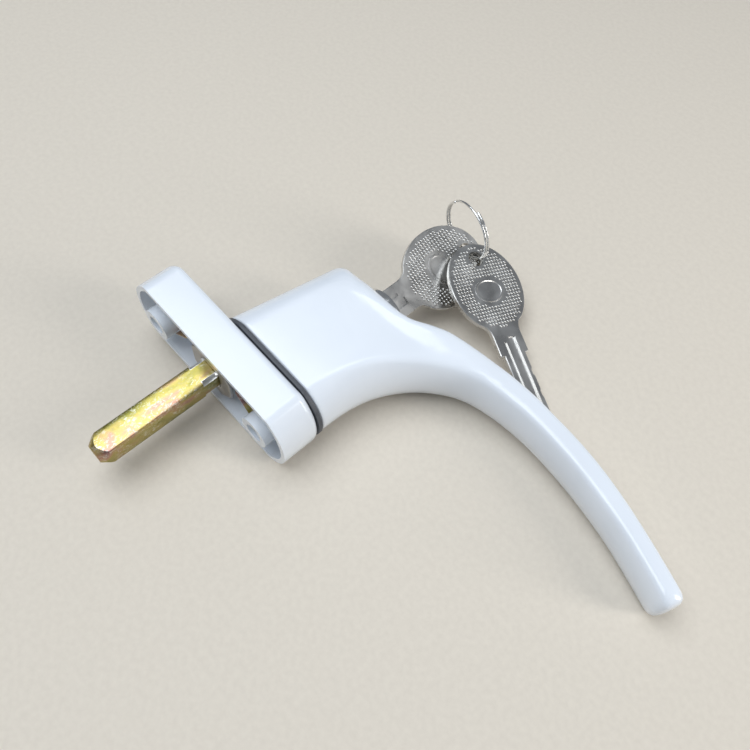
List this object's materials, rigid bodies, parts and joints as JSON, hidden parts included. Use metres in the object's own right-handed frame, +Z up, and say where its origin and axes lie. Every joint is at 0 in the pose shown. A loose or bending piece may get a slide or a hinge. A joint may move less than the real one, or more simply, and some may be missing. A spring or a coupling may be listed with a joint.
{
  "type": "lockable window handle",
  "caption": "Lockable window handle: oval-ended back plate, turning neck and curved lever, square drive spindle, key cylinder in the neck, and flat keys on a split ring.",
  "frame": {"origin": "where the spindle's axis crosses the face of the sash, in the plane of the back plate's rim", "axes": "+X along the lever, +Y from the sash into the room along the spindle, +Z up across the lever"},
  "size_m": [0.1578, 0.1286, 0.0304],
  "materials": {
    "white_powder_coat": "gloss powder coat",
    "white_plastic": "moulded",
    "grey_gasket": "matte",
    "yellow_zinc": "yellow passivated zinc",
    "grey_steel": "stamped",
    "brass": "machined",
    "bright_nickel": "polished nickel plate",
    "nickel_silver": "satin nickel plate",
    "spring_steel": "drawn wire"
  },
  "bodies": {
    "rosette": {"rosette_shell": "white_powder_coat", "hub_bushing": "white_plastic", "detent_leaf": "yellow_zinc"},
    "handle": {"handle_casting": "white_powder_coat", "glide_gasket": "grey_gasket", "index_cam": "grey_steel", "retaining_plate": "grey_steel", "spindle": "yellow_zinc", "lock_housing": "brass", "cylinder_rim": "bright_nickel", "bolt_spring": "spring_steel"},
    "plug": {"lock_plug": "bright_nickel", "plug_clip": "spring_steel", "wafer_spring_1": "spring_steel", "wafer_spring_2": "spring_steel", "wafer_spring_3": "spring_steel", "wafer_spring_4": "spring_steel", "wafer_spring_5": "spring_steel"},
    "bolt": {"locking_bolt": "grey_steel"},
    "inserted_key": {"key_1": "nickel_silver"},
    "ring": {"split_ring": "bright_nickel"},
    "spare_key": {"key_2": "nickel_silver"},
    "sliding_wafer_1": {"wafer_1": "brass"},
    "sliding_wafer_2": {"wafer_2": "brass"},
    "sliding_wafer_3": {"wafer_3": "brass"},
    "sliding_wafer_4": {"wafer_4": "brass"},
    "sliding_wafer_5": {"wafer_5": "brass"}
  },
  "joints": [
    {"name": "handle_turn", "type": "hinge", "parent": "rosette", "child": "handle", "pos_m": [0, 0, 0], "axis": [0, 1, 0], "range_deg": [-180, 180]},
    {"name": "plug_turn", "type": "hinge", "parent": "handle", "child": "plug", "pos_m": [0.0162, 0, 0], "axis": [0, 1, 0], "range_deg": [0, 90]},
    {"name": "bolt_slide", "type": "slide", "parent": "handle", "child": "bolt", "axis": [0, -1, 0], "range_m": [0, 0.0034]},
    {"name": "key_slide", "type": "slide", "parent": "plug", "child": "inserted_key", "axis": [0, 1, 0], "range_m": [0, 0.026]},
    {"name": "wafer_1_slide", "type": "slide", "parent": "plug", "child": "sliding_wafer_1", "axis": [0.9063, 0, -0.4226], "range_m": [0, 0.0012]},
    {"name": "wafer_2_slide", "type": "slide", "parent": "plug", "child": "sliding_wafer_2", "axis": [-0.9063, 0, 0.4226], "range_m": [0, 0.0012]},
    {"name": "wafer_3_slide", "type": "slide", "parent": "plug", "child": "sliding_wafer_3", "axis": [0.9063, 0, -0.4226], "range_m": [0, 0.0012]},
    {"name": "wafer_4_slide", "type": "slide", "parent": "plug", "child": "sliding_wafer_4", "axis": [-0.9063, 0, 0.4226], "range_m": [0, 0.0012]},
    {"name": "wafer_5_slide", "type": "slide", "parent": "plug", "child": "sliding_wafer_5", "axis": [0.9063, 0, -0.4226], "range_m": [0, 0.0012]},
    {"name": "ring_swing", "type": "hinge", "parent": "inserted_key", "child": "ring", "pos_m": [0.0162, 0.0847, 0], "axis": [0.4226, 0, 0.9063], "range_deg": [0, 6]},
    {"name": "spare_key_swing", "type": "hinge", "parent": "ring", "child": "spare_key", "pos_m": [0.02083, 0.08394, 0.00119], "axis": [0.2506, 0.1299, 0.9593], "range_deg": [0, 30]}
  ],
  "couplings": [
    {"joint": "bolt_slide", "follows": "plug_turn", "m_per_rad": 0.00216},
    {"joint": "wafer_1_slide", "follows": "key_slide", "ratio": 0.046},
    {"joint": "wafer_2_slide", "follows": "key_slide", "ratio": 0.046},
    {"joint": "wafer_3_slide", "follows": "key_slide", "ratio": 0.046},
    {"joint": "wafer_4_slide", "follows": "key_slide", "ratio": 0.046},
    {"joint": "wafer_5_slide", "follows": "key_slide", "ratio": 0.046}
  ]
}
